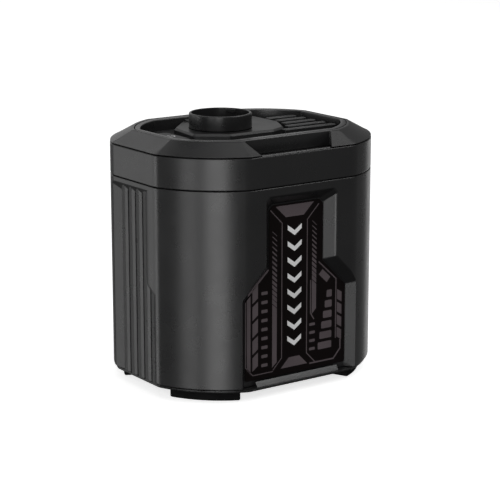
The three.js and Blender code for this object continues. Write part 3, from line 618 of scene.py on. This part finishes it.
def deck_tray():
    plate = slab("deck_tray", outline(WALL + GAP), DECK_BOTTOM, DECK_TOP)
    floor = slab("floor", top_plan(SLOPE_RUN + RIM_WIDTH + 0.5), DECK_TOP - 1, POCKET_FLOOR)
    island_plan = rounded(ISLAND, [2.5, 2.5, 2, 2, 2.5, 1.6, 1.6, 2.2, 2.2], 4)
    island = loft("island", [[(x, y, z) for x, y in moved_in(island_plan, inset)] for inset, z in [
        (0, POCKET_FLOOR - 1), (0, ISLAND_TOP - 1), (0.08, ISLAND_TOP - 0.82), (0.8, ISLAND_TOP - 0.1),
        (1.0, ISLAND_TOP)]])
    ramp_top = ISLAND_TOP + 0.9
    ramp_section = [(24, ISLAND_TOP - 0.6), (30.4, ISLAND_TOP - 0.6), (30.4, ramp_top - 0.2),
                    (30.1, ramp_top), (24, ISLAND_TOP - 0.1)]
    ramp = loft("ramp", [[(x, y, z) for y, z in ramp_section] for x in (-11.2, 23.2)])
    joined(plate, floor, island, ramp)
    half_x, half_y = BUTTON_SIZE[0] / 2 + GAP, BUTTON_SIZE[1] / 2 + GAP
    button_x, button_y = BUTTON_PLACE
    key_plan = rectangle(button_x - half_x, button_x + half_x, button_y - half_y, button_y + half_y)
    window_plan = rectangle(WINDOW["left"], WINDOW["right"], -WINDOW["half_length"], WINDOW["half_length"])
    holes = [circle(NOZZLE["tube"] + GAP, NOZZLE["x"], NOZZLE["y"], 64), rounded(key_plan, 2.3, 6),
             rounded(window_plan, 1, 4), circle(1.9, *LENS_PLACE, 32)]
    holes += [circle(3, sx * POST["x"], sy * POST["y"], 24) for sx, sy, _ in QUARTERS]
    cut(plate, *[slab("hole", hole, 100, 120) for hole in holes])
    cut(plate, slab("seal_groove", circle(NOZZLE["radius"] + 0.1, NOZZLE["x"], NOZZLE["y"], 64),
                    ISLAND_TOP - 0.9, 120))
    return finished(plate, DECK, replaces=["top_deck"], crease=34)


GRILLE = {"bars": 5, "pitch": 7.5, "width": 3.0, "front_left": 12.5, "right": 41.6, "rails": (28, 37)}


def island_right(y):
    (x0, y0), (x1, y1) = ISLAND[3:5]
    return min(x1, x0 + (x1 - x0) * (y - y0) / (y1 - y0))


def grille_bars():
    """Every bar starts just clear of the island's right side; two rails tie them together below."""
    half = GRILLE["width"] / 2
    bars = []
    for i in range(GRILLE["bars"]):
        y = (i - (GRILLE["bars"] - 1) / 2) * GRILLE["pitch"]
        left = GRILLE["front_left"] if y + half < ISLAND[0][1] else island_right(y + half) + 0.4
        bar = rounded(rectangle(left, GRILLE["right"], y - half, y + half), 0.7, 3)
        bars.append(slab("bar", bar, grille_low.z, grille_high.z, top_round=0.5))
    reach = (GRILLE["bars"] - 1) / 2 * GRILLE["pitch"] + half
    rails = [slab("rail", rectangle(x, x + 2, -reach, reach), grille_low.z, grille_low.z + 1.3)
             for x in GRILLE["rails"]]
    grille = bars[0]
    grille.name = "grille_bars"
    joined(grille, *bars[1:], *rails)
    return finished(grille, DECK, replaces=["intake_grille"])


def nozzle_tube():
    """The outlet collar, with a thin rounded lip, a ledge inside and two locking lugs."""
    bore, mouth, tube_radius, radius = NOZZLE["bore"], NOZZLE["mouth"], NOZZLE["tube"], NOZZLE["radius"]
    base, top = NOZZLE["base"], nozzle_high.z
    profile = [(bore, nozzle_low.z), (tube_radius, nozzle_low.z), (tube_radius, base), (radius - 0.4, base),
               (radius - 0.1, base + 0.1), (radius, base + 0.4), (radius, top - 0.5),
               (radius - 0.06, top - 0.26), (radius - 0.2, top - 0.08), (radius - 0.42, top),
               (mouth + 0.3, top), (mouth + 0.1, top - 0.07), (mouth, top - 0.3), (mouth, base + 1.15),
               (mouth - 0.15, base + 1), (bore + 0.2, base + 1), (bore, base + 0.8)]
    tube = turned("nozzle_tube", profile, NOZZLE["x"], NOZZLE["y"], 96)
    lug_plan = rounded(rectangle(mouth - 1, mouth + 0.5, -2.2, 2.2), 0.4, 3)
    for degrees in (-146, 34):
        lug = slab("lug", lug_plan, top - 2.2, top - 0.35, top_round=0.25, bottom_round=0.25)
        lug.data.transform(Matrix.Rotation(math.radians(degrees), 4, "Z"))
        lug.data.transform(Matrix.Translation(Vector((NOZZLE["x"], NOZZLE["y"], 0)) * MM))
        joined(tube, lug)
    return finished(tube, HOUSING, replaces=["air_nozzle"])


upper_band()
top_bezel()
notch_lip()
deck_tray()
grille_bars()
nozzle_tube()


# ---------------------------------------------------------------- button, indicator and charging port
def button_cap():
    """The key is flat on top with rounded edges; its flange hides under the deck."""
    x, y = BUTTON_PLACE
    half_x, half_y = BUTTON_SIZE[0] / 2, BUTTON_SIZE[1] / 2
    key_plan = rounded(rectangle(x - half_x, x + half_x, y - half_y, y + half_y), 2, 6)
    flange_top = 105.8
    key = slab("button_cap", key_plan, flange_top - 0.5, button_high.z, top_round=0.6, steps=4)
    flange_plan = rounded(rectangle(button_low.x, button_high.x, button_low.y, button_high.y), 2.5, 4)
    flange = slab("flange", flange_plan, button_low.z, flange_top)
    joined(key, flange)
    return finished(key, BUTTON, "button", ["power_button"])


def power_mark():
    """The usual on-off mark, a broken ring with a stroke, printed on the key."""
    x, y = BUTTON_PLACE
    gap = math.radians(38)
    start, end = math.pi / 2 + gap, 5 * math.pi / 2 - gap
    ring = arc((x, y), 2.2, start, end, 28) + arc((x, y), 1.75, start, end, 28)[::-1]
    bottom, top = button_high.z - INK, button_high.z + INK
    mark = slab("power_mark", ring, bottom, top)
    joined(mark, slab("bar", rectangle(x - 0.22, x + 0.22, y + 0.4, y + 2.5), bottom, top))
    return finished(mark, INK_LIGHT, "button")


def indicator():
    profile = [(0.001, lens_low.z), (1.6, lens_low.z), (1.6, lens_high.z - 0.15), (1.3, lens_high.z - 0.02),
               (0.001, lens_high.z)]
    shape = turned("indicator_lens", profile, *LENS_PLACE, 40)
    return finished(shape, LENS, replaces=["status_lens"])


def port_cover():
    """A rubber leaf with a plug behind it and a finger recess in its upper edge."""
    plan = rounded(rectangle(cover_low.x, cover_high.x, cover_low.z, cover_high.z), 1.6, 6)
    back = HALF_DEPTH - 1.6
    leaf = slab("port_cover", plan, back, HALF_DEPTH, on_back, top_round=0.45)
    plug_plan = rounded(rectangle(PORT["x"] - 3.6, PORT["x"] + 3.6, PORT["z"] - 1, PORT["z"] + 1), 0.95, 5)
    joined(leaf, slab("plug", plug_plan, cover_low.y, back + 0.5, on_back))
    nail_plan = rectangle(PORT["x"] - 3, PORT["x"] + 3, cover_high.z - 1.4, cover_high.z + 1)
    panel_plan = rectangle(cover_low.x + 1.5, cover_high.x - 1.5, cover_low.z + 1.5, cover_high.z - 2.6)
    cut(leaf, slab("panel", rounded(panel_plan, 0.8, 4), HALF_DEPTH - 0.25, HALF_DEPTH + 1, on_back),
        slab("nail", rounded(nail_plan, 0.8, 4), HALF_DEPTH - 0.7, HALF_DEPTH + 1, on_back))
    return finished(leaf, SHADE_DARKENED_RUBBER, "cover", ["socket_cover"])


def port_shell():
    """A rounded steel mouth with a contact tongue in it."""
    low, high = box_mm("charging_socket")
    outer = rounded(rectangle(low.x, high.x, low.z, high.z), 1.6, 7)
    shell = slab("port_shell", outer, low.y, high.y, on_back)
    cut(shell, slab("mouth", moved_in(outer, 0.4), low.y + 1.2, high.y + 1, on_back))
    tongue = slab("tongue", rectangle(PORT["x"] - 3.1, PORT["x"] + 3.1, PORT["z"] - 0.33, PORT["z"] + 0.33),
                  low.y + 1, high.y - 0.9, on_back)
    joined(shell, tongue)
    return finished(shell, STEEL, replaces=["charging_socket"])


button_cap()
power_mark()
indicator()
port_cover()
port_shell()


# ---------------------------------------------------------------- base and pads
SILL = {"half_width": 22.6, "front": -45.2, "back": -43.7, "top": 8.0}
PAD = {"length": 29.0, "outer": 4.5, "inner": 13.0}


def base_pan():
    bottom, top = pan_bottom, 5.7
    pan = loft("base_pan", [[(x, y, z) for x, y in outline(inset)] for inset, z in [
        (1.7, bottom), (1.2, bottom + 0.12), (1, bottom + 0.4), (1, top)]])
    panel = slab("panel", rounded(rectangle(-26, 26, -24, 24), 5, 6), bottom - 1, bottom + 0.5)
    left, right = LABEL_CENTRE - SILL["half_width"], LABEL_CENTRE + SILL["half_width"]
    section = [(SILL["front"], top - 0.5), (SILL["back"], top - 0.5), (SILL["back"], SILL["top"]),
               (SILL["back"] - 0.12, SILL["top"]), (SILL["front"], top + 0.1)]
    sill = loft("sill", [[(x, y, z) for y, z in section] for x in (left, right)])
    cut(pan, panel)
    joined(pan, sill)
    return finished(pan, HOUSING, replaces=["base_plate"])


def pad(sx, sy, place):
    """A rubber pad that follows its corner face, with rounded ends and lower edges."""
    outer, inner = ARC_RADIUS - PAD["outer"], ARC_RADIUS - PAD["inner"]
    reach = math.asin(PAD["length"] / 2 / ((outer + inner) / 2))
    middle = math.pi / 4
    plan = arc((ARC_X, ARC_Y), outer, middle - reach, middle + reach, 16)
    plan += arc((ARC_X, ARC_Y), inner, middle + reach, middle - reach, 16)
    radii = [0] * len(plan)
    for corner in (0, 16, 17, len(plan) - 1):
        radii[corner] = 2.6
    plan = rounded(plan, radii, 4)
    piece = slab(f"pad_{place}", plan, 0, FOOT_TOP, bottom_round=0.9, steps=4)
    piece.data.transform(Matrix.Diagonal((sx, sy, 1, 1)))
    if sx * sy < 0:
        piece.data.flip_normals()
    return finished(piece, SHADE_DARKENED_RUBBER, replaces=[f"foot_{place}"])


base_pan()
for sx, sy, place in QUARTERS:
    pad(sx, sy, place)


# ---------------------------------------------------------------- label
FILM_BACK = 42.6
FILM_FRONT = 42.95
AXIS = -1.7


def label_film():
    film = slab("label_base", rounded(label_outline(0.4, 8.5), 0.8, 3), FILM_BACK, FILM_FRONT, on_front)
    return finished(film, FILM, replaces=["label_plate"])


def stroke(points, width):
    """A line of even width along the points, mitred at its bends, as an outline."""
    left, right = [], []
    for i, point in enumerate(points):
        here = Vector(point)
        ways = []
        if i > 0:
            ways.append((here - Vector(points[i - 1])).normalized())
        if i < len(points) - 1:
            ways.append((Vector(points[i + 1]) - here).normalized())
        along = sum(ways, Vector((0, 0))).normalized()
        side = Vector((-along.y, along.x))
        reach = width / 2 / max(side.dot(Vector((-ways[0].y, ways[0].x))), 0.4)
        left.append(tuple(here + side * reach))
        right.append(tuple(here - side * reach))
    return left + right[::-1]


def slanted(x0, x1, z0, z1, rise):
    """A block with parallel slanting ends: its right side is higher by rise."""
    return [(x0, z0), (x1, z0 + rise), (x1, z1 + rise), (x0, z1)]


def print_layer(name, outlines, material):
    """All the outlines of one ink, as one thin raised layer."""
    vertices, faces = [], []
    for points in outlines:
        start, count = len(vertices), len(points)
        vertices += [on_front(x, z, FILM_FRONT) for x, z in points]
        vertices += [on_front(x, z, FILM_FRONT + INK) for x, z in points]
        faces += [tuple(range(start, start + count)), tuple(range(start + count, start + 2 * count))]
        faces += [(start + i, start + (i + 1) % count, start + count + (i + 1) % count, start + count + i)
                  for i in range(count)]
    return finished(make(name, vertices, faces), material)


def mirrored(points):
    return [(2 * AXIS - x, z) for x, z in points]


def label_lines():
    """The frame of the label: thin lines round the centre strip and the two wings."""
    centre_line = [(AXIS + 13.2, 83.9), (AXIS + 6.9, 77.5), (AXIS + 6.9, 16.2), (AXIS + 11.6, 11.4)]
    wing_line = [(AXIS + 26.0, 19.6), (AXIS + 26.0, 15.2), (AXIS + 22.2, 11.0), (AXIS + 8.6, 11.0)]
    lines = [stroke(centre_line, 0.42), stroke(mirrored(centre_line), 0.42), stroke(wing_line, 0.7)]
    lines.append(stroke([(AXIS + 13.4, 57.4), (AXIS + 23.3, 48.2), (AXIS + 23.3, 20.4)], 0.55))
    lines.append(stroke([(AXIS - 14.2, 57.6), (AXIS - 25.2, 47.4)], 0.9))
    left_wing_line = [(AXIS - 26.5, 44.6), (AXIS - 26.5, 15.0), (AXIS - 22.6, 10.8), (AXIS - 11.6, 10.8)]
    lines.append(stroke(left_wing_line, 0.42))
    return lines


def hatch(x0, x1, top, bottom, count):
    """Slanting stripes that get thicker downwards until they merge."""
    pitch = (top - bottom) / count
    blocks = []
    for i in range(count):
        thickness = pitch * (0.14 + 0.74 * i / (count - 1))
        z = top - (i + 1) * pitch
        blocks.append(slanted(x0, x1, z, z + thickness, -(x1 - x0) * 0.9))
    return blocks


def label_blocks():
    """The solid grey marks: end tabs, hatches, side blocks and level bars."""
    blocks = [[(AXIS - 4.9, 79.9), (AXIS + 4.9, 79.9), (AXIS + 10.4, 85.2), (AXIS - 10.4, 85.2)],
              [(AXIS - 7.4, 11.3), (AXIS + 7.4, 11.3), (AXIS + 2.9, 15.8), (AXIS - 2.9, 15.8)]]
    blocks += hatch(AXIS - 12.1, AXIS - 9.6, 76.5, 42, 15)
    blocks.append([(AXIS - 12.1, 12.6), (AXIS - 9.6, 14.8), (AXIS - 9.6, 39.4), (AXIS - 12.1, 41.6)])
    blocks += hatch(AXIS + 9.7, AXIS + 12.1, 78.5, 50, 13)
    blocks.append([(AXIS + 9.7, 33.8), (AXIS + 12.1, 36.2), (AXIS + 12.1, 47.4), (AXIS + 9.7, 49.6)])
    blocks.append(stroke([(AXIS + 9.0, 49.6), (AXIS + 9.0, 34.4), (AXIS + 11.0, 31.2)], 0.5))
    blocks.append(stroke([(AXIS + 14.6, 52.6), (AXIS + 19.0, 48.4)], 3.0))
    for i in range(4):
        top = 43.2 - i * 5.9
        blocks.append(slanted(AXIS + 24.0, AXIS + 26.6, top - 4.6, top, -1.6))
    for i in range(5):
        top = 49.6 - i * 7.7
        blocks.append(slanted(AXIS - 22.8, AXIS - 19.8, top - 6.2, top, 2.2))
    blocks.append([(AXIS - 25.8, 13.6), (AXIS - 23.8, 11.6), (AXIS - 23.8, 47.2), (AXIS - 25.8, 45.4)])
    blocks += level_bars() + dashes()
    return blocks


def level_bars():
    """A rising scale of six bars, where the rating is shown."""
    bars = []
    for i in range(6):
        top = 43.6 - i * 4.75
        width = 3.0 + i * 0.95
        bars.append(rounded(rectangle(AXIS + 21.0 - width, AXIS + 21.0, top - 3.3, top), 0.6, 3))
    return bars


def dashes():
    """Short tick marks where small print would be."""
    left = [rounded(rectangle(AXIS - 18.0, AXIS - 14.6, z, z + 1.5), 0.4, 2)
            for z in [46.6 - 4.1 * i for i in range(9)]]
    right = [rounded(rectangle(AXIS + 8.4, AXIS + 11.6, z, z + 1.3), 0.4, 2)
             for z in [28.4 - 3.8 * i for i in range(4)]]
    return left + right


def arrows():
    """A column of downward chevrons on the centre strip."""
    marks = []
    for i in range(8):
        top = 76.2 - i * 7.2
        half, drop, thick = 3.8, 2.7, 2.2
        marks.append([(AXIS - half, top), (AXIS - half, top - thick), (AXIS, top - thick - drop),
                      (AXIS + half, top - thick), (AXIS + half, top), (AXIS, top - drop)])
    return marks


label_film()
print_layer("label_frame_lines", label_lines(), INK_GREY)
print_layer("label_grey_marks", label_blocks(), INK_GREY)
print_layer("label_arrows", arrows(), INK_LIGHT)


# ---------------------------------------------------------------- finishes of the CAD pieces that stay
FINISHES = {
    "nozzle_seal": SEAL, "intake_filter": FOAM, "impeller": FAN, "rotor_core": COPPER,
    "motor_magnets": MAGNET, "motor_end_cap": END_CAP, "control_board": BOARD, "switch_board": BOARD,
}
STARTS = {
    "fan_case": INNER, "motor_mount": INNER, "battery_cradle": INNER, "battery_cell": SLEEVE,
    "cell_link": STEEL, "motor_": STEEL, "bearing": STEEL, "button_switch": STEEL,
    "switch_screw": STEEL, "fan_screw": STEEL, "board_screw": STEEL, "base_screw": STEEL,
    "deck_screw": STEEL,
}
for name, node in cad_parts.items():
    if node.hide_render:
        continue
    finish = FINISHES.get(name) or next(m for start, m in STARTS.items() if name.startswith(start))
    node.data.materials.clear()
    node.data.materials.append(finish)


# ---------------------------------------------------------------- stage, light and camera
def floor():
    """A wide pale floor. It takes the object's shadow but isn't mirrored in the object."""
    plate = slab("floor", circle(9000, sides=96), -3, -0.02)
    g = Graph("pale_floor")
    tone = g.spread(g.noise(3, 2), 0.86, 0.9)
    g.feed(g.shader.inputs["Base Color"], g.add("ShaderNodeCombineColor", {
        "Red": tone, "Green": tone, "Blue": tone}).outputs["Color"])
    g.shader.inputs["Roughness"].default_value = 0.9
    g.shader.inputs["Emission Color"].default_value = (1, 1, 1, 1)
    g.shader.inputs["Emission Strength"].default_value = 0.72
    plate.data.materials.append(g.material)
    plate.visible_glossy = False
    plate.visible_diffuse = False
    plate.visible_shadow = False


def softbox(name, azimuth, elevation, distance, width, height, radiance):
    """An area light that looks at the body's middle. Azimuth 0 is in front, 90 at the left; degrees."""
    a, e = math.radians(azimuth), math.radians(elevation)
    way = Vector((-math.sin(a) * math.cos(e), -math.cos(a) * math.cos(e), math.sin(e)))
    light = bpy.data.lights.new(name, "AREA")
    light.shape = "RECTANGLE"
    light.size, light.size_y, light.energy = width, height, radiance * math.pi * width * height
    lamp = bpy.data.objects.new(name, light)
    lamp.location = Vector((0, 0, 0.06)) + way * distance
    lamp.rotation_euler = way.to_track_quat("Z", "Y").to_euler()
    bpy.context.scene.collection.objects.link(lamp)


floor()
softbox("back_low", 185, 10, 2.0, 2.6, 0.9, 0.38)
softbox("back_high", 172, 40, 1.8, 1.0, 0.7, 0.8)
softbox("left_back", 140, -6, 1.6, 0.95, 1.1, 0.9)
softbox("left_strip", 119, -2, 1.5, 0.2, 1.2, 3.4)
softbox("front_left_side", 68, 3, 1.5, 0.46, 1.8, 1.9)
softbox("front_left", 40, 3, 1.5, 0.6, 1.8, 3.2)
softbox("right_back", -124, -14, 1.6, 0.8, 0.7, 0.65)
softbox("front_right_high", -84, 52, 1.6, 1.1, 0.7, 1.1)
softbox("edge_light", -40, 39, 1.6, 0.5, 0.4, 6.5)
softbox("overhead", 0, 84, 1.4, 1.2, 1.2, 0.85)


def studio():
    """An even dim surround that fades to black far below the horizon."""
    world = bpy.data.worlds.new("studio")
    bpy.context.scene.world = world
    world.use_nodes = True
    nodes, links = world.node_tree.nodes, world.node_tree.links
    way = nodes.new("ShaderNodeTexCoord")
    split = nodes.new("ShaderNodeSeparateXYZ")
    fade = nodes.new("ShaderNodeMapRange")
    fade.inputs["From Min"].default_value = -0.62
    fade.inputs["From Max"].default_value = -0.3
    fade.inputs["To Min"].default_value = 0.005
    fade.inputs["To Max"].default_value = 0.16
    links.new(way.outputs["Generated"], split.inputs["Vector"])
    links.new(split.outputs["Z"], fade.inputs["Value"])
    links.new(fade.outputs["Result"], nodes["Background"].inputs["Strength"])
    nodes["Background"].inputs["Color"].default_value = (1, 1, 1, 1)


studio()

view = bpy.context.scene.view_settings
view.view_transform = "Standard"
view.look = "None"

camera_data = bpy.data.cameras.new("camera")
camera_data.lens = 127.1
camera_data.sensor_width = 36
camera = bpy.data.objects.new("camera", camera_data)
camera.location = (-0.4548, -0.6475, 0.2447)
aim = Vector((-0.0038, -0.0120, 0.0588)) - camera.location
camera.rotation_euler = aim.to_track_quat("-Z", "Y").to_euler()
bpy.context.scene.collection.objects.link(camera)
bpy.context.scene.camera = camera
